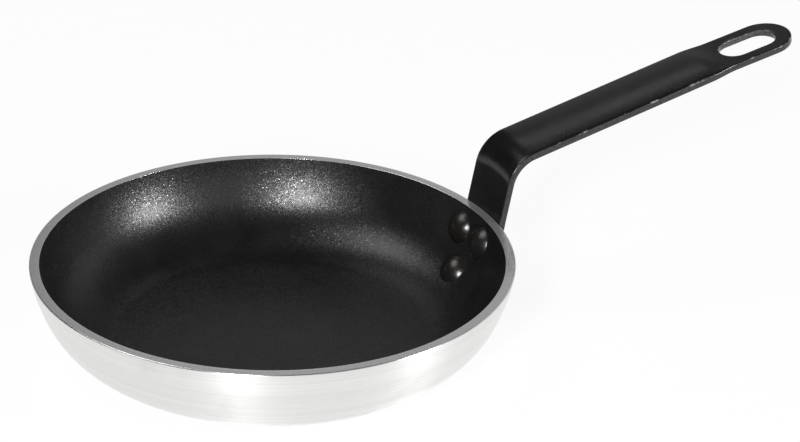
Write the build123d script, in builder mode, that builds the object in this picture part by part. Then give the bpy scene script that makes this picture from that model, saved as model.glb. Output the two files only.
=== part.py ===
from build123d import *

# Omelette pan, 24 cm: a thick pressed aluminium pan with a non-stick lining and a
# coated steel strip handle held by three rivets.
# Millimetres, +Z up. The origin is the middle of the base on the table, and the
# handle runs out along +X.
import os
from math import acos, asin, cos, degrees, radians, sin, sqrt, tan

# Pan body
rim_radius = 120.0          # outside of the rim
pan_height = 46.0           # table to the flat of the rim
wall_spread = 44.5          # how far the wall leans out, from the flat base to the rim
rim_lean = 80.5             # degrees, slope of the wall where it meets the rim
curl_turn = 64.6            # degrees the wall turns through in the tighter curve above the base
wall = 5.0                  # thickness of the base, the wall and the rim
rim_break = 0.5             # broken outer edge of the rim
rim_inner_break = 0.3       # broken inner edge of the rim

# Shallow recess in the underside of the base, so that the pan stands on its outer ring
ring_width = 17.5           # flat ring left round the recess
recess_depth = 0.5

# Non-stick lining
lining = 0.15
lining_fit = 0.02           # gap between the lining and the wall

# Strip handle
strip = 3.8                 # thickness of the strip
strip_width = 33.8
foot_seat = 0.05            # gap between the foot and the wall
foot_end_height = 5.0       # table to the lower end of the foot
foot_end_round = 14.0       # rounded corners of that end
riser_lean = 78.3           # degrees, slope of the riser
riser_height = 32.9         # rim to where the riser's line meets the grip's line
riser_hollow = 0.7          # hollow of the riser below the bend, left from the curved foot
bend_radius = 19.7          # outside of the bend between riser and grip
bend_steps = 4              # spans of the loft round the bend
grip_lean = 12.45           # degrees, slope of the grip
grip_reach = 125.1          # along X, from that corner to where the eye begins
grip_camber = 1.6           # crown of the grip across its width

# Flat eye at the end of the handle
eye_lean = 10.7             # degrees
eye_width = 30.6
eye_length = 49.3           # where the eye begins to the tip
eye_fade = 8.0              # half the length over which the crown fades and the strip narrows
slot_length = 32.2
slot_width = 17.2
slot_to_tip = 8.7

# Rivets
shank_radius = 3.2
shank_fit = 0.05            # gap round the shank
head_radius = 8.9
head_height = 4.5
head_seat_reach = 55.0      # largest radius of the seat under a head, up and down the wall
tail_radius = 5.0
tail_height = 2.2
upper_rivet_height = 34.0   # above the table, on the inside of the wall
upper_rivet_spacing = 20.6
lower_rivet_height = 17.0

overrun = 1.0               # how far a cut runs past what it cuts


# The wall's outer face is two tangent arcs, the curl and the side. Their radii follow from
# the spread and the height that they cover together.
base_radius = rim_radius - wall_spread
curl_sine, curl_cosine = sin(radians(curl_turn)), cos(radians(curl_turn))
side_sine = sin(radians(rim_lean)) - curl_sine
side_cosine = curl_cosine - cos(radians(rim_lean))
crossing = curl_sine * side_cosine - side_sine * (1 - curl_cosine)
curl_radius = (wall_spread * side_cosine - pan_height * side_sine) / crossing
side_radius = (pan_height * curl_sine - wall_spread * (1 - curl_cosine)) / crossing
curl_centre = Vector(base_radius, curl_radius)
side_centre = curl_centre + Vector(-curl_sine, curl_cosine) * (side_radius - curl_radius)
lined_wall = wall + lining_fit + lining     # wall's outer face to the face of the lining


def wall_section(inside, outside, top, inner_break=0, outer_break=0):
    """Section between two curves parallel to the wall's outer face, from the middle to a height."""
    with BuildSketch(Plane.XZ) as cut:
        with BuildLine():
            ends = []
            for offset in (inside, outside):
                flat = Line((0, -offset), (base_radius, -offset))
                curl = JernArc(flat @ 1, (1, 0), curl_radius + offset, curl_turn)
                top_turn = degrees(acos((side_centre.Y - top) / (side_radius + offset)))
                side = JernArc(curl @ 1, curl % 1, side_radius + offset, top_turn - curl_turn)
                ends.append((flat @ 0, side @ 1))
            for near, far in zip(*ends):
                Line(near, far)
        make_face()
        for nth, size in ((0, inner_break), (-1, outer_break)):
            if size:
                chamfer(vertices().group_by(Axis.Y)[-1].sort_by(Axis.X)[nth], size)
    return cut.sketch


def wall_at(offset, height):
    """Point, outward normal and radius at a height on the wall's outer face moved out by offset."""
    centre, radius = side_centre, side_radius + offset
    if height < curl_radius - (curl_radius + offset) * curl_cosine:
        centre, radius = curl_centre, curl_radius + offset
    turn = acos((centre.Y - height) / radius)
    out = Vector(sin(turn), -cos(turn))
    return centre + out * radius, out, radius


def rivet_plane(height, side):
    """Plane on the lined wall at a rivet, its normal pointing into the pan."""
    point, out, _ = wall_at(-lined_wall, height)
    turn = asin(side / point.X)
    radial = Vector(cos(turn), sin(turn), 0)
    origin = radial * point.X + Vector(0, 0, point.Y)
    inward = radial * -out.X + Vector(0, 0, -out.Y)
    return Plane(origin=origin, x_dir=(-sin(turn), cos(turn), 0), z_dir=inward)


rivets = {
    "rivet_upper_left": rivet_plane(upper_rivet_height, upper_rivet_spacing / 2),
    "rivet_upper_right": rivet_plane(upper_rivet_height, -upper_rivet_spacing / 2),
    "rivet_lower": rivet_plane(lower_rivet_height, 0),
}
stack = lined_wall + foot_seat + strip      # what each rivet clamps


# Pan body
with BuildPart() as pan_body:
    revolve(wall_section(-wall, 0, pan_height, rim_inner_break, rim_break), axis=Axis.Z)
    with BuildSketch(Plane.XY):
        Circle(base_radius - ring_width)
    extrude(amount=recess_depth, mode=Mode.SUBTRACT)
    for plane in rivets.values():
        with BuildSketch(plane):
            Circle(shank_radius + shank_fit)
        extrude(amount=stack + head_height, both=True, mode=Mode.SUBTRACT)

pan_body.part.label = "pan_body"


# Non-stick lining, a skin over the inside up to the rim's inner edge
with BuildPart() as nonstick_lining:
    revolve(wall_section(-lined_wall, -wall - lining_fit, pan_height - rim_inner_break), axis=Axis.Z)
    for plane in rivets.values():
        with BuildSketch(plane):
            Circle(shank_radius + shank_fit)
        extrude(amount=stack + head_height, both=True, mode=Mode.SUBTRACT)

nonstick_lining.part.label = "nonstick_lining"


# Strip handle. The foot is cut from a surface of revolution that follows the wall, and
# the rest is lofted through sections of the strip, most of them square to its path.
half_foot_sweep = degrees(asin(strip_width / 2 / base_radius))
lip_edge = sqrt(wall_at(foot_seat, pan_height)[0].X ** 2 - (strip_width / 2) ** 2)


def heading(angle):
    """Unit vector at an angle above the X axis."""
    return Vector(cos(radians(angle)), 0, sin(radians(angle)))


def edge_line(start, end, crown):
    """Broad edge of a section, bowed by the crown."""
    if crown == 0:
        return Line(start, end)
    return ThreePointArc(start, ((start[0] + end[0]) / 2, start[1] + crown), end)


def section(start, angle, width, crown):
    """Section of the strip, square to its path, with its upper edges level with the start point."""
    half = width / 2
    with BuildSketch(Plane(origin=start, x_dir=(0, 1, 0), z_dir=heading(angle))) as cut:
        with BuildLine():
            edge_line((-half, 0), (half, 0), crown)
            Line((half, 0), (half, -strip))
            edge_line((half, -strip), (-half, -strip), crown)
            Line((-half, -strip), (-half, 0))
        make_face()
    return cut.sketch


corner = Vector(lip_edge, 0, pan_height) + heading(riser_lean) * (riser_height / sin(radians(riser_lean)))
bend_run = bend_radius * tan(radians((riser_lean - grip_lean) / 2))
bend_end = corner + heading(grip_lean) * bend_run
bend_centre = bend_end + heading(grip_lean - 90) * bend_radius
eye_start = corner + heading(grip_lean) * (grip_reach / cos(radians(grip_lean)))
fade_start = eye_start - heading(grip_lean) * eye_fade
fade_end = eye_start + heading(eye_lean) * eye_fade
round_centre = eye_start + heading(eye_lean) * (eye_length - eye_width / 2)
eye_plane = Plane(origin=round_centre, x_dir=heading(eye_lean), z_dir=heading(eye_lean + 90))

bend_sections = []
for step in range(bend_steps + 1):
    share = step / bend_steps
    lean = riser_lean + (grip_lean - riser_lean) * share
    crown = -riser_hollow + (grip_camber + riser_hollow) * share
    bend_sections.append(section(bend_centre + heading(lean + 90) * bend_radius, lean, strip_width, crown))

grip_last = section(fade_start, grip_lean, strip_width, grip_camber)
fade_middle = section(eye_start, (grip_lean + eye_lean) / 2, (strip_width + eye_width) / 2, grip_camber / 2)
eye_first = section(fade_end, eye_lean, eye_width, 0)
eye_last = section(round_centre, eye_lean, eye_width, 0)

with BuildPart() as handle:
    # Foot, round the outside of the wall
    revolve(
        wall_section(foot_seat, foot_seat + strip, pan_height).rotate(Axis.Z, -half_foot_sweep),
        axis=Axis.Z,
        revolution_arc=2 * half_foot_sweep,
    )
    with BuildSketch(Plane.YZ):
        with Locations((0, pan_height)):
            Rectangle(strip_width, pan_height - foot_end_height, align=(Align.CENTER, Align.MAX))
        fillet(vertices().group_by(Axis.Y)[0], foot_end_round)
    extrude(amount=rim_radius + strip + overrun, mode=Mode.INTERSECT)

    # Riser, bend, grip and eye
    loft([handle.faces().sort_by(Axis.Z)[-1], bend_sections[0]], ruled=True)
    loft(bend_sections)
    loft([bend_sections[-1], grip_last], ruled=True)
    loft([grip_last, fade_middle, eye_first])
    loft([eye_first, eye_last], ruled=True)
    with BuildSketch(eye_plane):
        Circle(eye_width / 2)
    extrude(amount=-strip)
    with BuildSketch(eye_plane):
        with Locations((eye_width / 2 - slot_to_tip - slot_length / 2, 0)):
            SlotOverall(slot_length, slot_width)
    extrude(amount=strip + overrun, both=True, mode=Mode.SUBTRACT)

    for plane in rivets.values():
        with BuildSketch(plane):
            Circle(shank_radius + shank_fit)
        extrude(amount=stack + head_height, both=True, mode=Mode.SUBTRACT)

handle.part.label = "handle"

os.makedirs("parts", exist_ok=True)
for piece in (pan_body.part, nonstick_lining.part, handle.part):
    export_step(piece, f"parts/{piece.label}.step")


# Rivets. Each head is a dome cut by a torus that lies against the lined wall, and the
# shank and the flat tail are turned about the same axis.
for name, plane in rivets.items():
    point, out, radius = wall_at(-lined_wall, plane.origin.Z)
    seat_reach = min(radius, head_seat_reach)
    seat_centre = point - out * seat_reach
    rivet_section = Plane(plane.origin, x_dir=plane.x_dir, z_dir=plane.x_dir.cross(plane.z_dir))
    with BuildPart() as rivet:
        with BuildSketch(rivet_section):
            with BuildLine():
                TangentArc((0, head_height), (head_radius, 0), tangent=(1, 0))
                Polyline((head_radius, 0), (0, 0), (0, head_height))
            make_face()
        revolve(axis=Axis(plane.origin, plane.z_dir))
        with Locations((0, 0, seat_centre.Y)):
            Torus(seat_centre.X, seat_reach, mode=Mode.INTERSECT)
        with BuildSketch(plane.offset(head_height / 2)):
            Circle(shank_radius)
        extrude(amount=-head_height / 2 - stack)
        with BuildSketch(plane.offset(-stack)):
            Circle(tail_radius)
        extrude(amount=-tail_height)
    rivet.part.label = name
    export_step(rivet.part, f"parts/{name}.step")
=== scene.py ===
from math import acos, asin, cos, pi, radians, sin, sqrt, tan
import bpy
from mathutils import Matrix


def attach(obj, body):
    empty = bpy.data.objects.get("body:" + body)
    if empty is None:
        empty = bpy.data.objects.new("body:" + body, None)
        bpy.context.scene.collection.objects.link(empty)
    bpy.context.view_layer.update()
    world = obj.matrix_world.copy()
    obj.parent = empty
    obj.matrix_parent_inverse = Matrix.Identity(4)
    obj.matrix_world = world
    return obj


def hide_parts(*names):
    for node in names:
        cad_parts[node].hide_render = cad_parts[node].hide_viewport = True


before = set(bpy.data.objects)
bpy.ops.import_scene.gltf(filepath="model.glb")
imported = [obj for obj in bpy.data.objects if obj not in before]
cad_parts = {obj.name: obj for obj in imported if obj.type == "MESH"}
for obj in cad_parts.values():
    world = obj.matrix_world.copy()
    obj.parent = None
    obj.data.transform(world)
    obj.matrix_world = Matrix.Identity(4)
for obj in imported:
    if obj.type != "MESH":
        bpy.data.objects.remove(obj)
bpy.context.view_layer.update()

from types import SimpleNamespace

import bmesh
import bpy
import numpy as np
from mathutils import Matrix, Vector

mm = 0.001  # sizes are in millimetres, and meshes in metres
scene = bpy.context.scene
scene.view_settings.view_transform = "Standard"


def makePiece(name, points, faces):
    mesh = bpy.data.meshes.new(name)
    mesh.from_pydata([tuple(float(value) * mm for value in point) for point in points], [], faces)
    mesh.polygons.foreach_set("use_smooth", [True] * len(mesh.polygons))
    mesh.update()
    piece = bpy.data.objects.new(name, mesh)
    scene.collection.objects.link(piece)
    return piece


def addAttribute(piece, name, values):
    layer = piece.data.attributes.new(name, "FLOAT", "POINT")
    layer.data.foreach_set("value", [float(value) for value in values])


def addVectorAttribute(piece, name, rows, factor=1.0):
    layer = piece.data.attributes.new(name, "FLOAT_VECTOR", "POINT")
    layer.data.foreach_set("vector", [float(value) * factor for row in rows for value in row])


# A share that leaves 0 and reaches 1 gently
def smoothShare(share):
    return share * share * (3 - 2 * share)


# Node helpers
def newMaterial(name):
    material = bpy.data.materials.new(name)
    material.use_nodes = True
    tree = material.node_tree
    tree.nodes.clear()
    return material, tree, tree.nodes.new("ShaderNodeOutputMaterial").inputs["Surface"]


def newFinish(name):
    material, tree, surface = newMaterial(name)
    shader = tree.nodes.new("ShaderNodeBsdfPrincipled")
    link(tree, shader.outputs["BSDF"], surface)
    return material, tree, shader


def link(tree, source, target):
    tree.links.new(source, target)


def setInput(tree, socket, value):
    if isinstance(value, bpy.types.NodeSocket):
        tree.links.new(value, socket)
    elif value is not None:
        socket.default_value = value


def calc(tree, operation, a, b=None, clamp=False):
    node = tree.nodes.new("ShaderNodeMath")
    node.operation = operation
    node.use_clamp = clamp
    for socket, value in zip(node.inputs, (a, b)):
        setInput(tree, socket, value)
    return node.outputs[0]


def vectorCalc(tree, operation, a, b=None):
    node = tree.nodes.new("ShaderNodeVectorMath")
    node.operation = operation
    for socket, value in zip(node.inputs, (a, b)):
        setInput(tree, socket, value)
    return node.outputs[0]


def scaled(tree, vector, factor):
    result = vectorCalc(tree, "SCALE", vector)
    link(tree, factor, result.node.inputs["Scale"])
    return result


def combine(tree, x, y, z):
    node = tree.nodes.new("ShaderNodeCombineXYZ")
    for socket, value in zip(node.inputs, (x, y, z)):
        setInput(tree, socket, value)
    return node.outputs[0]


def split(tree, vector):
    node = tree.nodes.new("ShaderNodeSeparateXYZ")
    link(tree, vector, node.inputs[0])
    return node.outputs


def noise(tree, vector, scale, detail, roughness):
    node = tree.nodes.new("ShaderNodeTexNoise")
    link(tree, vector, node.inputs["Vector"])
    node.inputs["Scale"].default_value = scale
    node.inputs["Detail"].default_value = detail
    node.inputs["Roughness"].default_value = roughness
    return node.outputs["Fac"]


def mapRange(tree, value, fromMin, fromMax, toMin=0.0, toMax=1.0):
    node = tree.nodes.new("ShaderNodeMapRange")
    for socket, given in zip(node.inputs, (value, fromMin, fromMax, toMin, toMax)):
        setInput(tree, socket, given)
    return node.outputs["Result"]


noiseSpan = (0.3, 0.7)  # nearly all of a noise lies between these


def spreadNoise(tree, value, low=0.0, high=1.0):
    return mapRange(tree, value, *noiseSpan, low, high)


def mixColour(tree, share, a, b):
    node = tree.nodes.new("ShaderNodeMix")
    node.data_type = "RGBA"
    setInput(tree, node.inputs[0], share)
    for socket, colour in ((node.inputs[6], a), (node.inputs[7], b)):
        setInput(tree, socket, (*colour, 1.0) if isinstance(colour, tuple) else colour)
    return node.outputs[2]


def mixValue(tree, share, a, b):
    node = tree.nodes.new("ShaderNodeMix")
    for socket, value in zip(node.inputs[:1] + node.inputs[2:4], (share, a, b)):
        setInput(tree, socket, value)
    return node.outputs[0]


def objectPoint(tree):
    return tree.nodes.new("ShaderNodeTexCoord").outputs["Object"]


def attribute(tree, name):
    node = tree.nodes.new("ShaderNodeAttribute")
    node.attribute_name = name
    return node.outputs["Fac"]


def newGroup(name, kind, inputs, outputs):
    tree = bpy.data.node_groups.new(name, kind)
    for label, socketKind in inputs.items():
        tree.interface.new_socket(label, in_out="INPUT", socket_type=socketKind)
    for label, socketKind in outputs.items():
        tree.interface.new_socket(label, in_out="OUTPUT", socket_type=socketKind)
    return tree, tree.nodes.new("NodeGroupInput").outputs, tree.nodes.new("NodeGroupOutput").inputs


def useGroup(tree, group, **values):
    node = tree.nodes.new("ShaderNodeGroup")
    node.node_tree = group
    for label, value in values.items():
        setInput(tree, node.inputs[label], value)
    return node.outputs


# Patterns that the finishes share. A noise is given by its scale, detail and roughness.
patterns = {
    "mottle": (60.0, 3.0, 0.6),
    "lines": (1.0, 3.0, 0.65), "lineStretch": 5.0, "lineBump": 0.0001,  # the bump in metres
    "bands": (1.0, 3.0, 0.6), "bandStretch": 3.0, "bandPitch": 260.0,
}


# Fine grain of a coating: each tiny cell leans its own way, and a slow mottle varies the colour
def buildCoatingGrain():
    tree, given, put = newGroup(
        "coatingGrain", "ShaderNodeTree",
        {"cellScale": "NodeSocketFloat", "lean": "NodeSocketFloat"},
        {"mottle": "NodeSocketFloat", "chance": "NodeSocketFloat", "normal": "NodeSocketVector"},
    )
    point = objectPoint(tree)
    cells = tree.nodes.new("ShaderNodeTexVoronoi")
    link(tree, point, cells.inputs["Vector"])
    link(tree, given["cellScale"], cells.inputs["Scale"])
    chances = cells.outputs["Color"]  # three for each cell, from 0 to 1
    leaned = scaled(tree, vectorCalc(tree, "SUBTRACT", chances, (0.5, 0.5, 0.5)), given["lean"])
    flat = tree.nodes.new("ShaderNodeNewGeometry").outputs["Normal"]
    link(tree, noise(tree, point, *patterns["mottle"]), put["mottle"])
    link(tree, split(tree, chances)[1], put["chance"])
    link(tree, vectorCalc(tree, "NORMALIZE", vectorCalc(tree, "ADD", flat, leaned)), put["normal"])
    return tree


# A noise that runs round the pan and varies quickly along its section
def turnedNoise(tree, x, y, girth, stretch, pitch, kind):
    place = combine(
        tree, calc(tree, "MULTIPLY", x, stretch), calc(tree, "MULTIPLY", y, stretch),
        calc(tree, "MULTIPLY", girth, pitch),
    )
    return noise(tree, place, *kind)


# Lines left by turning: fine ones, which are cut in, and broad bands of shade
def buildTurnedLines():
    tree, given, put = newGroup(
        "turnedLines", "ShaderNodeTree",
        {"pitch": "NodeSocketFloat", "depth": "NodeSocketFloat"},
        {"lines": "NodeSocketFloat", "bands": "NodeSocketFloat", "normal": "NodeSocketVector"},
    )
    x, y, _ = split(tree, objectPoint(tree))
    girth = attribute(tree, "girth")
    lines = turnedNoise(tree, x, y, girth, patterns["lineStretch"], given["pitch"], patterns["lines"])
    bands = turnedNoise(tree, x, y, girth, patterns["bandStretch"], patterns["bandPitch"], patterns["bands"])
    bump = tree.nodes.new("ShaderNodeBump")
    bump.inputs["Distance"].default_value = patterns["lineBump"]
    link(tree, given["depth"], bump.inputs["Strength"])
    link(tree, lines, bump.inputs["Height"])
    for name, value in (("lines", lines), ("bands", bands), ("normal", bump.outputs["Normal"])):
        link(tree, value, put[name])
    return tree


coatingGrain = buildCoatingGrain()
turnedLines = buildTurnedLines()
print("patterns made")


# Pan body and lining, both turned round Z. What starts with "soft" is the rounding of an edge.
panSize = {
    "rimRadius": 120.0, "height": 46.0, "baseRadius": 75.5, "wall": 5.0,
    "curlTurn": 64.6, "rimLean": 80.5,  # degrees
    "lining": 0.17, "liningLap": 0.02,  # the lap is how far the lining's back lies inside the wall
    "rimBreak": 0.5, "rimInnerBreak": 0.08,
    "softRim": 0.36, "softInnerTop": 0.16, "softInnerBreak": 0.096,
    "softLiningBack": 0.03, "softLiningFace": 0.05,
    "recessRadius": 58.0, "recessDepth": 0.5, "recessSlope": 0.3, "softRecess": 0.15,
    "recessRings": (20, 40), "baseRing": 68, "floorRings": (50, 25), "liningRings": (60, 45, 30, 15),
    "segments": 384, "wallSteps": 44, "cornerSteps": 4,
    "cornerMost": 0.45,  # the largest share of a flat that one rounded corner takes
    "cornerHold": 1.3,  # where the points that hold the flats flat lie, in lengths of the rounding
}


# Radii and centres of the wall's two tangent arcs, the curl above the base and the side
def wallArcs():
    curl, lean = radians(panSize["curlTurn"]), radians(panSize["rimLean"])
    spread, height = panSize["rimRadius"] - panSize["baseRadius"], panSize["height"]
    sideSine, sideCosine = sin(lean) - sin(curl), cos(curl) - cos(lean)
    crossing = sin(curl) * sideCosine - sideSine * (1 - cos(curl))
    curlRadius = (spread * sideCosine - height * sideSine) / crossing
    sideRadius = (height * sin(curl) - spread * (1 - cos(curl))) / crossing
    curlCentre = (panSize["baseRadius"], curlRadius)
    shift = sideRadius - curlRadius
    sideCentre = (curlCentre[0] - sin(curl) * shift, curlCentre[1] + cos(curl) * shift)
    return curlRadius, curlCentre, sideRadius, sideCentre


curlRadius, curlCentre, sideRadius, sideCentre = wallArcs()


# Radius, height and turn of the wall at a height, on its outer face moved out by offset
def wallAt(offset, height):
    centre, radius = sideCentre, sideRadius + offset
    if height < curlRadius - (curlRadius + offset) * cos(radians(panSize["curlTurn"])):
        centre, radius = curlCentre, curlRadius + offset
    turn = acos((centre[1] - height) / radius)
    return centre[0] + radius * sin(turn), height, turn


def wallCurve(offset, top):
    points = []
    steps, endTurn = panSize["wallSteps"], wallAt(offset, top)[2]
    for step in range(steps + 1):
        turn = endTurn * step / steps
        centre, radius = curlCentre, curlRadius + offset
        if turn > radians(panSize["curlTurn"]):
            centre, radius = sideCentre, sideRadius + offset
        points.append((centre[0] + radius * sin(turn), centre[1] - radius * cos(turn)))
    return points


def angleOf(cosine):
    return acos(max(-1.0, min(1.0, float(cosine))))


# The points of a corner, rounded, with a point on each side to hold the flats flat
def softCorner(before, corner, after, radius):
    before, corner, after = (np.array(point, float) for point in (before, corner, after))
    most, hold, steps = panSize["cornerMost"], panSize["cornerHold"], panSize["cornerSteps"]
    inward, outward = before - corner, after - corner
    inLength, outLength = np.linalg.norm(inward), np.linalg.norm(outward)
    inward, outward = inward / inLength, outward / outLength
    half = 0.5 * angleOf(inward @ outward)
    run = min(radius / tan(half), most * inLength, most * outLength)
    reach = run * tan(half)
    middle = corner + (inward + outward) / np.linalg.norm(inward + outward) * (reach / sin(half))
    start, end = corner + inward * run - middle, corner + outward * run - middle
    angle = angleOf(start @ end / reach ** 2)
    points = [corner + inward * run * hold]
    for step in range(steps + 1):
        share = step / steps
        points.append(middle + (start * sin((1 - share) * angle) + end * sin(share * angle)) / sin(angle))
    points.append(corner + outward * run * hold)
    return [(float(point[0]), float(point[1])) for point in points]


# Corners are ((radius, height), rounding), and those with no rounding are passed through
def softProfile(corners):
    points = [corner[0] for corner in corners]
    profile = []
    for index, (point, radius) in enumerate(corners):
        if radius == 0 or index in (0, len(corners) - 1):
            profile.append(point)
        else:
            profile.extend(softCorner(points[index - 1], point, points[index + 1], radius))
    return profile


def plainCorners(points):
    return [(point, 0) for point in points]


def flatRings(radii, height):
    return plainCorners([(radius, height) for radius in radii])


# Turns a profile that starts and ends on the axis into a closed piece
def turnPiece(name, profile):
    segments = panSize["segments"]
    angles = [2 * pi * step / segments for step in range(segments)]
    ring = profile[1:-1]
    points = [(0, 0, profile[0][1])]
    for radius, height in ring:
        points += [(radius * cos(angle), radius * sin(angle), height) for angle in angles]
    points.append((0, 0, profile[-1][1]))
    faces = []
    for step in range(segments):
        after = (step + 1) % segments
        faces.append((0, 1 + after, 1 + step))
        for row in range(len(ring) - 1):
            near, far = 1 + row * segments, 1 + (row + 1) * segments
            faces.append((near + step, near + after, far + after, far + step))
        last = 1 + (len(ring) - 1) * segments
        faces.append((last + step, last + after, len(points) - 1))
    piece = makePiece(name, points, faces)
    girths, run = [], 0.0  # how far each point lies along the profile, in metres
    for before, here in zip(profile, profile[1:-1]):
        run += sqrt((here[0] - before[0]) ** 2 + (here[1] - before[1]) ** 2)
        girths += [run * mm] * segments
    addAttribute(piece, "girth", [0.0] + girths + [(run + profile[-2][0]) * mm])
    return piece


def buildPanShell():
    size, top, wall = panSize, panSize["height"], panSize["wall"]
    outer = wallCurve(0, top - size["rimBreak"])
    inner = wallCurve(-wall, top - size["rimInnerBreak"])[::-1]
    outerTop = (wallAt(0, top)[0] - size["rimBreak"], top)
    innerTop = (wallAt(-wall, top)[0] + size["rimInnerBreak"], top)
    recessEdge, recessEnd = size["recessRadius"], size["recessRadius"] + size["recessSlope"]
    corners = flatRings((0, *size["recessRings"]), size["recessDepth"])
    corners += [((recessEdge, size["recessDepth"]), size["softRecess"]), ((recessEnd, 0), size["softRecess"])]
    corners += flatRings((size["baseRing"],), 0) + plainCorners(outer[:-1])
    corners += [(outer[-1], size["softRim"]), (outerTop, size["softRim"])]
    corners += [(innerTop, size["softInnerTop"]), (inner[0], size["softInnerBreak"])]
    corners += plainCorners(inner[1:]) + flatRings((*size["floorRings"], 0), wall)
    return turnPiece("panShell", softProfile(corners))


def buildPanLining():
    size = panSize
    inside, skin = size["wall"] - size["liningLap"], size["wall"] + size["lining"]
    top = size["height"] - size["rimInnerBreak"]
    back, face = wallCurve(-inside, top), wallCurve(-skin, top)[::-1]
    corners = flatRings((0,), inside) + plainCorners(back[:-1])
    corners += [(back[-1], size["softLiningBack"]), (face[0], size["softLiningFace"])]
    corners += plainCorners(face[1:]) + flatRings((*size["liningRings"], 0), skin)
    return turnPiece("panLining", softProfile(corners))


# Strip handle, drawn flat as rows of points (along, across) and then bent to its path
handleSize = {
    "thickness": 3.8, "width": 33.8, "seat": 0.05, "footEnd": 5.0, "footRound": 14.0,
    "riserLean": 78.3, "riserHeight": 32.9, "riserHollow": 0.7, "bendRadius": 19.7,
    "gripLean": 12.45, "gripReach": 125.1, "camber": 1.6,
    "eyeLean": 10.7, "eyeWidth": 30.6, "eyeLength": 49.3, "eyeFade": 8.0,
    "slotLength": 32.2, "slotWidth": 17.2, "slotToTip": 8.7,
    "blendLength": 2.0, "blendDrop": 2.001,  # below the rim, where the foot runs into the riser
    "edgeRound": 0.75, "edgeSteps": 4,
    "outerWearAndSheen": 0.6, "slotWearAndSheen": 1.0,  # how much the edges are rubbed, and how much a painted reflection lightens the side faces
}


def heading(angle):
    return np.array([cos(radians(angle)), 0.0, sin(radians(angle))])


# Where each stretch of the strip starts, and the points that the stretches hang from
def layPath():
    path, size = SimpleNamespace(), handleSize
    top, half, fade = panSize["height"], size["width"] / 2, size["eyeFade"]
    riser, grip = heading(size["riserLean"]), heading(size["gripLean"])
    bend = size["riserLean"] - size["gripLean"]
    path.half = half
    path.seatRadius = wallAt(size["seat"], top)[0]
    path.backRadius = wallAt(size["seat"] + size["thickness"], top)[0]
    lip = np.array([sqrt(path.seatRadius ** 2 - half ** 2), 0, top])
    corner = lip + riser * (size["riserHeight"] / riser[2])
    path.gripStart = corner + grip * (size["bendRadius"] * tan(radians(bend / 2)))
    path.bendCentre = path.gripStart + heading(size["gripLean"] - 90) * size["bendRadius"]
    bendStart = path.bendCentre + heading(size["riserLean"] + 90) * size["bendRadius"]
    eyeCorner = corner + grip * (size["gripReach"] / grip[0])
    path.fadeStart = eyeCorner - grip * fade
    path.eyeStart = path.fadeStart + heading((size["gripLean"] + size["eyeLean"]) / 2) * (2 * fade)
    path.runs = {
        "foot": top - size["footEnd"],  # laid out by height
        "riser": float(np.linalg.norm(bendStart - lip)),
        "bend": radians(bend) * size["bendRadius"],
        "grip": float(np.linalg.norm(eyeCorner - path.gripStart)) - fade,
        "fade": 2 * fade,
        "eye": size["eyeLength"] - fade,
    }
    path.starts, along = {}, 0.0
    for name, run in path.runs.items():
        path.starts[name] = along
        along += run
    path.tip = along
    return path


path = layPath()


def halfWidth(along):
    share = min(1.0, max(0.0, (along - path.starts["fade"]) / path.runs["fade"]))
    return path.half + (handleSize["eyeWidth"] / 2 - path.half) * smoothShare(share)


# Depth runs from 0, on the face towards the cook, to the thickness
def footPoint(along, across, depth):
    radius, height, turn = wallAt(handleSize["seat"], handleSize["footEnd"] + along)
    radius += sin(turn) * depth
    return np.array([sqrt(radius ** 2 - across ** 2), across, height - cos(turn) * depth])


# Level with the rim, where the riser starts
def lipPoint(across, depth):
    radius = path.seatRadius + (path.backRadius - path.seatRadius) * depth / handleSize["thickness"]
    return np.array([sqrt(radius ** 2 - across ** 2), across, panSize["height"]])


def bentPoint(along, across, depth):
    size, starts, runs = handleSize, path.starts, path.runs
    blendStart = starts["riser"] - size["blendLength"]
    if along < blendStart:
        return footPoint(along, across, depth)
    if along < starts["riser"]:
        below, lip = footPoint(starts["riser"] - size["blendDrop"], across, depth), lipPoint(across, depth)
        return below + (lip - below) * (along - blendStart) / size["blendLength"]
    if along < starts["bend"]:
        lip, above = lipPoint(across, depth), bentPoint(starts["bend"], across, depth)
        return lip + (above - lip) * ((along - starts["riser"]) / runs["riser"])
    if along < starts["grip"]:
        share = (along - starts["bend"]) / runs["bend"]
        lean = size["riserLean"] + (size["gripLean"] - size["riserLean"]) * share
        crown = -size["riserHollow"] + (size["camber"] + size["riserHollow"]) * share
        place = path.bendCentre + heading(lean + 90) * size["bendRadius"]
    elif along < starts["fade"]:
        lean, crown = size["gripLean"], size["camber"]
        place = path.gripStart + heading(lean) * (along - starts["grip"])
    elif along < starts["eye"]:
        share = (along - starts["fade"]) / runs["fade"]
        lean = size["gripLean"] + (size["eyeLean"] - size["gripLean"]) * share
        crown = size["camber"] * (1 - smoothShare(share))
        place = path.fadeStart + heading((size["gripLean"] + lean) / 2) * (along - starts["fade"])
    else:
        lean, crown = size["eyeLean"], 0.0
        place = path.eyeStart + heading(lean) * (along - starts["eye"])
    bow = crown * (1 - (across / halfWidth(along)) ** 2)
    return place + heading(lean + 90) * (bow - depth) + np.array([0, across, 0])


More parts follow.
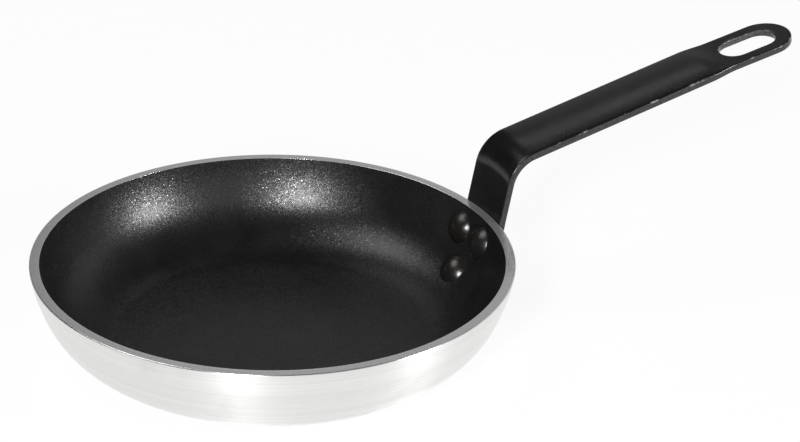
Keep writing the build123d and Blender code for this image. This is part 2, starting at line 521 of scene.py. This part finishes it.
# How the flat drawing is divided. Gaps are lengths that the rows keep from the ends of a stretch.
handleGrid = {
    "footAngles": (8, 16, 26, 36, 46, 56, 66, 78, 90),  # round the foot's corners
    "footGaps": (2.0, 2.2, 1.0), "fadeGap": 6.0,
    "footRows": 12, "riserRows": 12, "bendRows": 30, "gripRows": 30, "fadeRows": 6, "slotRows": 7,
    "leadRows": ((4.0, 3.0), (1.6, 2.2)),  # distance before the slot, and middle half width
    "slotAngles": (10, 20, 30, 40, 50, 60, 70, 80, 90),  # round the slot's ends
    "tipAngle": 4, "tipStep": 5,  # round the tip, beside the slot's far end
    "tipFull": 38,  # the angle round the tip at which the slot ends
    "tipRows": ((45, 1.6), (52, 1.7), (59, 1.8), (66, 1.9), (73, 1.8), (80, 1.2)),  # and middle half width
    "tipNarrow": 0.8,  # the largest share of a tip row that its middle takes
    "middleHalf": 3.0, "middleColumns": 4,
    "edgeColumns": (0.0, 0.1, 0.24, 0.4, 0.58, 0.78, 1.0),  # from the edge to the middle columns
}


# Where the rows lie that run straight across the strip, from the foot to the fade
def straightRows():
    grid, starts = handleGrid, path.starts
    firstGap, lastGap, lipGap = grid["footGaps"]
    lip = starts["riser"]
    rows = list(np.linspace(handleSize["footRound"] + firstGap, lip - lastGap, grid["footRows"]))
    rows += [lip - lipGap, lip]
    for start, end, count in (
        (lip, starts["bend"], grid["riserRows"]), (starts["bend"], starts["grip"], grid["bendRows"]),
        (starts["grip"], starts["fade"], grid["gripRows"]),
        (starts["fade"], starts["eye"] - grid["fadeGap"], grid["fadeRows"]),
    ):
        rows += list(np.linspace(start, end, count)[1:])
    return rows


# Rows of the flat drawing. Each has the along of its edge and of its middle, the half width, the
# half width of the middle columns, which are left out where the slot is, and the slot's round end.
def handleRows():
    size, grid, inset = handleSize, handleGrid, handleSize["edgeRound"]
    footRound, slotRound = size["footRound"] - inset, size["slotWidth"] / 2 + inset
    tipRound, tipCentre = size["eyeWidth"] / 2 - inset, path.tip - size["eyeWidth"] / 2
    farCentre = path.tip - size["slotToTip"] - size["slotWidth"] / 2
    nearCentre = farCentre - size["slotLength"] + size["slotWidth"]
    nearEnd, farEnd = (nearCentre, -1), (farCentre, 1)
    rows = []

    def addRow(along, middleHalf, slotEnd=None):
        rows.append((along, along, halfWidth(along) - inset, middleHalf, slotEnd))

    for angle in grid["footAngles"]:
        along = size["footRound"] - footRound * cos(radians(angle)) if rows else inset
        width = path.half - size["footRound"] + footRound * sin(radians(angle))
        rows.append((along, along, width, grid["middleHalf"], None))
    for along in straightRows():
        addRow(along, grid["middleHalf"])
    for distance, middleHalf in grid["leadRows"]:
        addRow(nearCentre - slotRound - distance, middleHalf)
    for angle in grid["slotAngles"]:
        addRow(nearCentre - slotRound * cos(radians(angle)), slotRound * sin(radians(angle)), nearEnd)
    for along in np.linspace(nearCentre, farCentre, grid["slotRows"])[1:]:
        rows.append((min(along, tipCentre), along, halfWidth(along) - inset, slotRound, farEnd))
    for count, angle in enumerate(reversed(grid["slotAngles"][:-1])):
        tipAngle = radians(grid["tipAngle"] + grid["tipStep"] * count)
        edge, width = tipCentre + tipRound * sin(tipAngle), tipRound * cos(tipAngle)
        middle, middleHalf = farCentre + slotRound * cos(radians(angle)), slotRound * sin(radians(angle))
        rows.append((edge, middle, width, middleHalf, farEnd))
    lastAngle = grid["tipRows"][-1][0]
    for angle, middleHalf in grid["tipRows"]:
        edge, width = tipCentre + tipRound * sin(radians(angle)), tipRound * cos(radians(angle))
        share = (angle - grid["tipFull"]) / (lastAngle - grid["tipFull"])
        middle = (farCentre + slotRound) * (1 - share) + (tipCentre + tipRound) * share
        rows.append((edge, middle, width, min(middleHalf, grid["tipNarrow"] * width), None))
    return rows, slotRound, tipCentre, tipRound


# The points of a row: from each edge to the middle columns, and across the middle
def rowPoints(row, slotRound):
    edge, middle, width, middleHalf, slotEnd = row
    left = []
    for share in handleGrid["edgeColumns"]:
        left.append((edge + (middle - edge) * share, -(width + (middleHalf - width) * share)))
    centre = []
    for column in range(1, handleGrid["middleColumns"]):
        along, across = middle, -middleHalf + 2 * middleHalf * column / handleGrid["middleColumns"]
        if slotEnd:
            along = slotEnd[0] + slotEnd[1] * sqrt(max(0.0, slotRound ** 2 - across ** 2))
        centre.append((along, across))
    return left + centre + [(along, -across) for along, across in reversed(left)]


# The whole grid of points, and the first and last row of the slot
def drawHandle():
    rows, slotRound, tipCentre, tipRound = handleRows()
    grid = [rowPoints(row, slotRound) for row in rows]
    grid[-1] = [(tipCentre + sqrt(tipRound ** 2 - across ** 2), across) for _, across in grid[-1]]
    slotRows = [index for index, row in enumerate(rows) if row[4]]
    return grid, slotRows[0], slotRows[-1]


# Outward directions, in the flat drawing, along a closed loop of points
def loopNormals(loop, side):
    normals = []
    for index, _ in enumerate(loop):
        before, after = np.array(loop[index - 1]), np.array(loop[(index + 1) % len(loop)])
        run = after - before
        normal = np.array([-run[1], run[0]]) * side
        normals.append(normal / np.linalg.norm(normal))
    return normals


# Steps round the strip's edge, from its upper face down: how far out and how deep each lies, how much
# it is rubbed and lightened by painted reflection, and how far it is into the upper rounding, which is 0 at
# both ends of that
def edgeLevels():
    edge, thickness, steps = handleSize["edgeRound"], handleSize["thickness"], handleSize["edgeSteps"]
    angles = [radians(90 * step / steps) for step in range(1, steps + 1)]
    levels = [(edge * sin(angle), edge * (1 - cos(angle)), sin(angle), sin(2 * angle)) for angle in angles]
    return levels + [(reach, thickness - depth, rubbedAndSheen, 0.0) for reach, depth, rubbedAndSheen, _ in reversed(levels)]


def buildHandle():
    grid, firstSlot, lastSlot = drawHandle()
    columns, edgeCount, end = len(grid[0]), len(handleGrid["edgeColumns"]), len(grid) - 1
    leftInner, rightInner = edgeCount - 1, columns - edgeCount
    points, faces, index = [], [], {}
    for face, depth in (("upper", 0.0), ("under", handleSize["thickness"])):
        for i, row in enumerate(grid):
            for j, (along, across) in enumerate(row):
                if firstSlot < i < lastSlot and leftInner < j < rightInner:
                    continue
                index[face, i, j] = len(points)
                points.append(bentPoint(along, across, depth))
    rubAndSheen, corner = [0.0] * len(points), [0.0] * len(points)
    for i in range(end):
        for j in range(columns - 1):
            if firstSlot <= i and i + 1 <= lastSlot and leftInner <= j < rightInner:
                continue
            corners = ((i, j), (i + 1, j), (i + 1, j + 1), (i, j + 1))
            faces.append(tuple(index["upper", a, b] for a, b in corners))
            faces.append(tuple(index["under", a, b] for a, b in reversed(corners)))
    outer = [(0, j) for j in range(columns)] + [(i, columns - 1) for i in range(1, end)]
    outer += [(end, j) for j in reversed(range(columns))] + [(i, 0) for i in reversed(range(1, end))]
    slot = [(i, rightInner) for i in range(firstSlot, lastSlot + 1)]
    slot += [(lastSlot, j) for j in reversed(range(leftInner + 1, rightInner))]
    slot += [(i, leftInner) for i in reversed(range(firstSlot, lastSlot + 1))]
    slot += [(firstSlot, j) for j in range(leftInner + 1, rightInner)]
    for loop, side, wearAndSheen in ((outer, 1, handleSize["outerWearAndSheen"]), (slot, -1, handleSize["slotWearAndSheen"])):
        flat = [grid[i][j] for i, j in loop]
        normals = loopNormals(flat, side)
        rings = [[index["upper", i, j] for i, j in loop]]
        for reach, depth, rubbedAndSheen, rounding in edgeLevels():
            rings.append(list(range(len(points), len(points) + len(loop))))
            for (along, across), normal in zip(flat, normals):
                points.append(bentPoint(along + normal[0] * reach, across + normal[1] * reach, depth))
                rubAndSheen.append(rubbedAndSheen * wearAndSheen)
                corner.append(rounding)
        rings.append([index["under", i, j] for i, j in loop])
        for near, far in zip(rings, rings[1:]):
            for step in range(len(loop)):
                after = (step + 1) % len(loop)
                faces.append((near[step], near[after], far[after], far[step]))
    piece = makePiece("stripHandle", points, faces)
    addAttribute(piece, "rubAndSheen", rubAndSheen)
    addAttribute(piece, "corner", corner)
    shape = bmesh.new()
    shape.from_mesh(piece.data)
    bmesh.ops.recalc_face_normals(shape, faces=shape.faces)
    shape.to_mesh(piece.data)
    shape.free()
    return piece


# Rivets: a tree turns a sphere into a domed head with a skirt, and puts one at each point
rivetSize = {
    "headRadius": 8.9, "headHeight": 4.5, "headTurn": 54.0, "tailRadius": 5.0, "tailHeight": 2.2,
    "skirt": 0.35,  # how far down it goes, as a share of the head's height
    "skirtEnd": 0.3, "undersideStart": 0.35,  # shares of the sphere's lower half
    "upperHeight": 34.0, "upperSpacing": 20.6, "lowerHeight": 17.0,
    "segments": 72, "rings": 40,
}


# Where each point of the sphere goes: onto a dome above, then down a skirt and in under it
def headPoint(tree, given):
    x, y, z = split(tree, tree.nodes.new("GeometryNodeInputPosition").outputs[0])
    polar = calc(tree, "ARCCOSINE", calc(tree, "MAXIMUM", calc(tree, "MINIMUM", z, 1.0), -1.0))
    quarters = calc(tree, "DIVIDE", polar, pi / 2)
    turned = calc(tree, "MULTIPLY", calc(tree, "MINIMUM", quarters, 1.0), given["headTurn"])
    domeRadius = calc(tree, "DIVIDE", calc(tree, "SINE", turned), calc(tree, "SINE", given["headTurn"]))
    edgeCosine = calc(tree, "COSINE", given["headTurn"])
    domeHeight = calc(
        tree, "DIVIDE", calc(tree, "SUBTRACT", calc(tree, "COSINE", turned), edgeCosine),
        calc(tree, "SUBTRACT", 1.0, edgeCosine),
    )
    lower = calc(tree, "SUBTRACT", quarters, 1.0, clamp=True)
    skirtRadius = mapRange(tree, lower, rivetSize["undersideStart"], 1.0, 1.0, 0.0)
    skirtHeight = calc(tree, "MULTIPLY", mapRange(tree, lower, 0.0, rivetSize["skirtEnd"]), given["skirt"])
    radius = calc(tree, "MULTIPLY", domeRadius, skirtRadius)
    height = calc(tree, "SUBTRACT", domeHeight, skirtHeight)
    outward = scaled(tree, vectorCalc(tree, "NORMALIZE", combine(tree, x, y, 0.0)), radius)
    return vectorCalc(tree, "ADD", outward, combine(tree, 0.0, 0.0, height))


def namedVector(tree, name):
    node = tree.nodes.new("GeometryNodeInputNamedAttribute")
    node.data_type = "FLOAT_VECTOR"
    node.inputs["Name"].default_value = name
    return node.outputs["Attribute"]


def buildRivetTree():
    tree, given, put = newGroup(
        "rivetHeads", "GeometryNodeTree",
        {"Points": "NodeSocketGeometry", "headTurn": "NodeSocketFloat", "skirt": "NodeSocketFloat",
         "finish": "NodeSocketMaterial"},
        {"Heads": "NodeSocketGeometry"},
    )
    sphere = tree.nodes.new("GeometryNodeMeshUVSphere")
    sphere.inputs["Segments"].default_value = rivetSize["segments"]
    sphere.inputs["Rings"].default_value = rivetSize["rings"]
    sphere.inputs["Radius"].default_value = 1.0
    shaped = tree.nodes.new("GeometryNodeSetPosition")
    link(tree, sphere.outputs["Mesh"], shaped.inputs["Geometry"])
    link(tree, headPoint(tree, given), shaped.inputs["Position"])
    turn = tree.nodes.new("FunctionNodeAlignRotationToVector")
    turn.axis = "Z"
    link(tree, namedVector(tree, "aim"), turn.inputs["Vector"])
    heads = tree.nodes.new("GeometryNodeInstanceOnPoints")
    link(tree, given["Points"], heads.inputs["Points"])
    link(tree, shaped.outputs[0], heads.inputs["Instance"])
    link(tree, turn.outputs[0], heads.inputs["Rotation"])
    link(tree, namedVector(tree, "headSize"), heads.inputs["Scale"])
    realized = tree.nodes.new("GeometryNodeRealizeInstances")
    link(tree, heads.outputs[0], realized.inputs[0])
    smoothed = tree.nodes.new("GeometryNodeSetShadeSmooth")
    link(tree, realized.outputs[0], smoothed.inputs["Geometry"])
    finished = tree.nodes.new("GeometryNodeSetMaterial")
    link(tree, smoothed.outputs[0], finished.inputs["Geometry"])
    link(tree, given["finish"], finished.inputs["Material"])
    link(tree, finished.outputs[0], put[0])
    return tree


def buildRivets(finish):
    size = rivetSize
    skin = panSize["wall"] + panSize["lining"]
    stack = skin + handleSize["seat"] + handleSize["thickness"]  # from a head's seat to its tail's
    upper, lower, aside = size["upperHeight"], size["lowerHeight"], size["upperSpacing"] / 2
    head = (size["headRadius"], size["headRadius"], size["headHeight"])
    tail = (size["tailRadius"], size["tailRadius"], size["tailHeight"])
    places, aims, sizes = [], [], []
    for height, side in ((upper, aside), (upper, -aside), (lower, 0.0)):
        radius, _, turn = wallAt(-skin, height)
        around = asin(side / radius)
        seat = np.array([radius * cos(around), radius * sin(around), height])
        inward = np.array([-sin(turn) * cos(around), -sin(turn) * sin(around), cos(turn)])
        places += [seat, seat - inward * stack]
        aims += [inward, -inward]
        sizes += [head, tail]
    carrier = makePiece("rivetPoints", places, [])
    addVectorAttribute(carrier, "aim", aims)
    addVectorAttribute(carrier, "headSize", sizes, mm)
    tree = buildRivetTree()
    modifier = carrier.modifiers.new("rivetHeads", "NODES")
    modifier.node_group = tree
    wanted = {"headTurn": radians(size["headTurn"]), "skirt": size["skirt"], "finish": finish}
    for socket in tree.interface.items_tree:
        if socket.in_out == "INPUT" and socket.name in wanted:
            modifier[socket.identifier] = wanted[socket.name]
    evaluated = carrier.evaluated_get(bpy.context.evaluated_depsgraph_get())
    mesh = bpy.data.meshes.new_from_object(evaluated)
    bpy.data.objects.remove(carrier)  # its modifier goes with it
    piece = bpy.data.objects.new("rivets", mesh)
    scene.collection.objects.link(piece)
    return piece


# Finishes. A pair of numbers is the range over which a pattern spreads a value.
def addTurnedTangent(tree, shader, amount):
    shader.inputs["Anisotropic"].default_value = amount
    shader.inputs["Anisotropic Rotation"].default_value = 0.25  # highlights spread across the lines
    tangent = tree.nodes.new("ShaderNodeTangent")
    tangent.direction_type = "RADIAL"
    tangent.axis = "Z"
    link(tree, tangent.outputs[0], shader.inputs["Tangent"])


# What both bare metals share; the caller gives them their colour
def newMetal(name, look):
    material, tree, shader = newFinish(name)
    marks = useGroup(tree, turnedLines, pitch=look["pitch"], depth=look["depth"])
    link(tree, spreadNoise(tree, marks["lines"], *look["roughness"]), shader.inputs["Roughness"])
    link(tree, marks["normal"], shader.inputs["Normal"])
    shader.inputs["Metallic"].default_value = look["metallic"]
    addTurnedTangent(tree, shader, look["turned"])
    return material, tree, shader, marks


outerFinish = {
    "pitch": 2600.0, "depth": 0.10, "roughness": (0.27, 0.34), "metallic": 1.0, "turned": 0.9,
    "tints": ((0.71, 0.71, 0.705), (0.89, 0.89, 0.88)), "bandShare": 0.15, "smudged": (0.66, 0.66, 0.65),
    "smudges": (34.0, 5.0, 0.62), "smudgeSpan": (0.56, 0.72), "smudgeMost": 0.5,
}


def makeOuterMetal():
    look = outerFinish
    material, tree, shader, marks = newMetal("spunAluminium", look)
    shade = mixValue(tree, look["bandShare"], marks["lines"], marks["bands"])
    colour = mixColour(tree, spreadNoise(tree, shade), *look["tints"])
    smudges = noise(tree, objectPoint(tree), *look["smudges"])
    smudge = mapRange(tree, smudges, *look["smudgeSpan"], 0.0, look["smudgeMost"])
    link(tree, mixColour(tree, smudge, colour, look["smudged"]), shader.inputs["Base Color"])
    return material


rimFinish = {
    "pitch": 5200.0, "depth": 0.015, "roughness": (0.14, 0.22), "metallic": 0.84, "turned": 0.3,
    "tints": ((0.70, 0.70, 0.70), (0.84, 0.84, 0.84)), "reach": 0.05,  # below the rim's flat, in mm
}


def makeRimMetal():
    material, tree, shader, marks = newMetal("turnedRim", rimFinish)
    colour = mixColour(tree, spreadNoise(tree, marks["bands"]), *rimFinish["tints"])
    link(tree, colour, shader.inputs["Base Color"])
    return material


# What the three coatings share; the caller gives them their colour and roughness
def newCoating(name, look):
    material, tree, shader = newFinish(name)
    grain = useGroup(tree, coatingGrain, cellScale=look["cellScale"], lean=look["lean"])
    tint = mixColour(tree, spreadNoise(tree, grain["mottle"]), *look["tints"])
    link(tree, grain["normal"], shader.inputs["Normal"])
    shader.inputs["IOR"].default_value = look["ior"]
    return material, tree, shader, grain, tint


liningFinish = {
    "cellScale": 3000.0, "lean": 0.17, "ior": 1.46, "roughness": (0.35, 0.27),
    "tints": ((0.004, 0.004, 0.0043), (0.008, 0.008, 0.0085)),
    "flake": (0.10, 0.10, 0.10), "flakeFrom": 0.96,  # cells whose chance is over this are flakes
}


def makeNonstick():
    look = liningFinish
    material, tree, shader, grain, tint = newCoating("nonstickCoating", look)
    flake = calc(tree, "GREATER_THAN", grain["chance"], look["flakeFrom"])
    link(tree, mixColour(tree, flake, tint, look["flake"]), shader.inputs["Base Color"])
    link(tree, flake, shader.inputs["Metallic"])
    link(tree, mapRange(tree, grain["chance"], 0.0, 1.0, *look["roughness"]), shader.inputs["Roughness"])
    return material


handleFinish = {
    "cellScale": 2200.0, "lean": 0.045, "ior": 1.38, "roughness": (0.19, 0.27),
    "tints": ((0.0045, 0.0045, 0.0048), (0.0075, 0.0075, 0.008)),
    "wornAndSheen": (0.085, 0.083, 0.081), "wornAndSheenFrom": 0.3,
    "patches": (1100.0, 4.0, 0.75), "patchSpan": (0.34, 0.66), "patchLeast": 0.12,
    "bareAndGlint": (0.36, 0.355, 0.35), "bareAndGlintMetallic": 0.8, "chipsAndGlint": (64.0, 8.0, 0.78), "chipAndGlintSpan": (0.55, 0.63),
}


def makeHandleCoating():
    look = handleFinish
    material, tree, shader, grain, tint = newCoating("handleCoating", look)
    point = objectPoint(tree)
    patches = noise(tree, point, *look["patches"])
    patches = mapRange(tree, patches, *look["patchSpan"], look["patchLeast"], 1.0)
    # The lighter colour on the edges, side faces and slot walls is partly coating rubbed thin and partly
    # painted reflection of the pale floor
    wornAndSheen = calc(tree, "MULTIPLY", mapRange(tree, attribute(tree, "rubAndSheen"), look["wornAndSheenFrom"], 1.0), patches)
    # Light metal in patches on the upper rounding only: partly chipped coating and partly a painted glint, a
    # light line along the strip's top edge
    chipsAndGlint = mapRange(tree, noise(tree, point, *look["chipsAndGlint"]), *look["chipAndGlintSpan"])
    bareAndGlint = calc(tree, "MULTIPLY", attribute(tree, "corner"), chipsAndGlint)
    coated = mixColour(tree, wornAndSheen, tint, look["wornAndSheen"])
    link(tree, mixColour(tree, bareAndGlint, coated, look["bareAndGlint"]), shader.inputs["Base Color"])
    link(tree, calc(tree, "MULTIPLY", bareAndGlint, look["bareAndGlintMetallic"]), shader.inputs["Metallic"])
    link(tree, spreadNoise(tree, grain["mottle"], *look["roughness"]), shader.inputs["Roughness"])
    return material


rivetFinish = {
    "cellScale": 1300.0, "lean": 0.06, "ior": 1.5, "roughness": (0.23, 0.31),
    "tints": ((0.006, 0.0055, 0.005), (0.011, 0.0095, 0.0085)),
}


def makeRivetCoating():
    material, tree, shader, grain, tint = newCoating("rivetCoating", rivetFinish)
    link(tree, tint, shader.inputs["Base Color"])
    link(tree, spreadNoise(tree, grain["mottle"], *rivetFinish["roughness"]), shader.inputs["Roughness"])
    return material


# Assembly
panShell = buildPanShell()
panShell.data.materials.append(makeOuterMetal())
panShell.data.materials.append(makeRimMetal())
rimFloor = (panSize["height"] - rimFinish["reach"]) * mm
for polygon in panShell.data.polygons:
    if all(panShell.data.vertices[index].co.z > rimFloor for index in polygon.vertices):
        polygon.material_index = 1
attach(panShell, "root")
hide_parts("pan_body")
print("pan shell made")

panLining = buildPanLining()
panLining.data.materials.append(makeNonstick())
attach(panLining, "root")
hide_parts("nonstick_lining")
print("lining made")

stripHandle = buildHandle()
stripHandle.data.materials.append(makeHandleCoating())
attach(stripHandle, "root")
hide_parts("handle")
print("handle made")

rivets = buildRivets(makeRivetCoating())
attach(rivets, "root")
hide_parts("rivet_upper_left", "rivet_upper_right", "rivet_lower")
print("rivets made")


# Studio: pale floor, white surroundings, three soft lamps, and a dim room that only reflections show
studio = {
    "floorReach": 4000, "floorColour": (0.9, 0.9, 0.9, 1.0), "floorShare": 0.9, "worldLight": 0.12,
    "roomRadius": 2700.0, "roomDark": 0.04, "roomColumns": 120, "roomRows": 30,
    "roomLowest": 3.0,  # elevation of the room's lower edge, in degrees
}
lamps = {  # azimuth, elevation, distance, width and height in metres, and brightness of the face
    "leftLamp": (-131.0, 27.0, 2.2, 0.27, 0.5, 114.0),
    "rightLamp": (-48.0, 18.0, 2.2, 0.36, 0.5, 62.0),
    "topLamp": (140.0, 58.0, 2.0, 1.3, 0.9, 3.4),
}


# 1 for camera, reflected and transmitted rays, to which the floor and the world look pale
def seenRays(tree):
    rays = tree.nodes.new("ShaderNodeLightPath")
    seen = calc(tree, "MAXIMUM", rays.outputs["Is Camera Ray"], rays.outputs["Is Glossy Ray"])
    return calc(tree, "MAXIMUM", seen, rays.outputs["Is Transmission Ray"])


def buildWorld():
    world = bpy.data.worlds.new("studioWorld")
    scene.world = world
    world.use_nodes = True
    tree = world.node_tree
    background = tree.nodes["Background"]
    background.inputs["Color"].default_value = (1.0, 1.0, 1.0, 1.0)
    link(tree, mixValue(tree, seenRays(tree), studio["worldLight"], 1.0), background.inputs["Strength"])


def buildFloor():
    reach = studio["floorReach"]
    corners = [(-reach, -reach, 0), (reach, -reach, 0), (reach, reach, 0), (-reach, reach, 0)]
    floor = makePiece("studioFloor", corners, [(0, 1, 2, 3)])
    material, tree, surface = newMaterial("paleFloor")
    diffuse = tree.nodes.new("ShaderNodeBsdfDiffuse")
    diffuse.inputs["Color"].default_value = studio["floorColour"]
    glow = tree.nodes.new("ShaderNodeEmission")
    mixed = tree.nodes.new("ShaderNodeMixShader")
    link(tree, calc(tree, "MULTIPLY", seenRays(tree), studio["floorShare"]), mixed.inputs[0])
    link(tree, diffuse.outputs[0], mixed.inputs[1])
    link(tree, glow.outputs[0], mixed.inputs[2])
    link(tree, mixed.outputs[0], surface)
    floor.data.materials.append(material)


def aimed(azimuth, elevation, distance):
    a, e = radians(azimuth), radians(elevation)
    return Vector((cos(a) * cos(e), sin(a) * cos(e), sin(e))) * distance


def addLamp(name, azimuth, elevation, distance, width, height, brightness):
    data = bpy.data.lights.new(name, "AREA")
    data.shape = "RECTANGLE"
    data.size, data.size_y = width, height
    data.energy = brightness * pi * width * height
    lamp = bpy.data.objects.new(name, data)
    lamp.location = aimed(azimuth, elevation, distance)
    lamp.rotation_euler = (-lamp.location).to_track_quat("-Z", "Y").to_euler()
    scene.collection.objects.link(lamp)


# Share from 1 inside a reach to 0 past it and a soft edge
def softShare(distance, reach, edge):
    return smoothShare(min(1.0, max(0.0, (reach + edge - distance) / edge)))


# Pale places of the dim room. Each has its brightness; the middle, reach and soft edge of its
# azimuth; and the same three of its elevation.
roomGlows = {
    "behindPan": (0.30, (48, 18, 12), (0, 24, 18)),
    "behindCamera": (0.8, (-85, 55, 15), (0, 26, 14)),
    "overHandle": (1.4, (71, 10, 10), (44, 1.5, 5)),
    "besideHandle": (0.6, (2, 12, 18), (0, 24, 18)),
}


def roomGlow(azimuth, elevation):
    glow = 0.0
    for brightness, (facing, *facingShape), (level, *levelShape) in roomGlows.values():
        aside = abs((azimuth - facing + 180) % 360 - 180)
        glow += brightness * softShare(aside, *facingShape) * softShare(abs(elevation - level), *levelShape)
    return studio["roomDark"] + glow


def buildRoom():
    columns, rows, lowest = studio["roomColumns"], studio["roomRows"], studio["roomLowest"]
    points, glows, faces = [], [], []
    for row in range(rows):
        for column in range(columns):
            azimuth, elevation = 360.0 * column / columns, lowest + (90.0 - lowest) * row / rows
            points.append(tuple(aimed(azimuth, elevation, studio["roomRadius"])))
            glows.append(roomGlow(azimuth, elevation))
            after = (column + 1) % columns
            if row + 1 < rows:
                near, far = row * columns, (row + 1) * columns
                faces.append((near + column, far + column, far + after, near + after))
            else:
                faces.append((row * columns + column, rows * columns, row * columns + after))
    points.append((0, 0, studio["roomRadius"]))
    room = makePiece("studioRoom", points, faces)
    addAttribute(room, "glow", glows + [studio["roomDark"]])
    material, tree, surface = newMaterial("dimRoom")
    glow = tree.nodes.new("ShaderNodeEmission")
    link(tree, attribute(tree, "glow"), glow.inputs["Strength"])
    link(tree, glow.outputs[0], surface)
    room.data.materials.append(material)
    room.visible_camera = False
    room.visible_diffuse = False
    room.visible_shadow = False


cameraView = {
    "azimuth": -28.45, "elevation": 26.25, "roll": 1.25,
    "distance": 1481.0, "right": 62.6, "up": 17.7,  # from the middle of the rim
    "lens": 135.0, "sensor": 36.0, "nearClip": 0.05, "farClip": 30.0,
}


def buildCamera():
    view = cameraView
    a, e, r = (radians(view[name]) for name in ("azimuth", "elevation", "roll"))
    back = Vector((sin(a) * cos(e), -cos(a) * cos(e), sin(e)))
    level = Vector((cos(a), sin(a), 0))
    upright = back.cross(level)
    right, up = level * cos(r) + upright * sin(r), upright * cos(r) - level * sin(r)
    rimMiddle = Vector((0, 0, panSize["height"]))
    place = rimMiddle + right * view["right"] + up * view["up"] + back * view["distance"]
    data = bpy.data.cameras.new("photoCamera")
    data.lens, data.sensor_width, data.sensor_fit = view["lens"], view["sensor"], "HORIZONTAL"
    data.clip_start, data.clip_end = view["nearClip"], view["farClip"]
    camera = bpy.data.objects.new("photoCamera", data)
    turned = Matrix((right, up, back)).transposed().to_4x4()
    camera.matrix_world = Matrix.Translation(place * mm) @ turned
    scene.collection.objects.link(camera)
    scene.camera = camera


buildWorld()
buildFloor()
for lampName, lampValues in lamps.items():
    addLamp(lampName, *lampValues)
buildRoom()
buildCamera()
bpy.context.view_layer.update()
print("studio made")
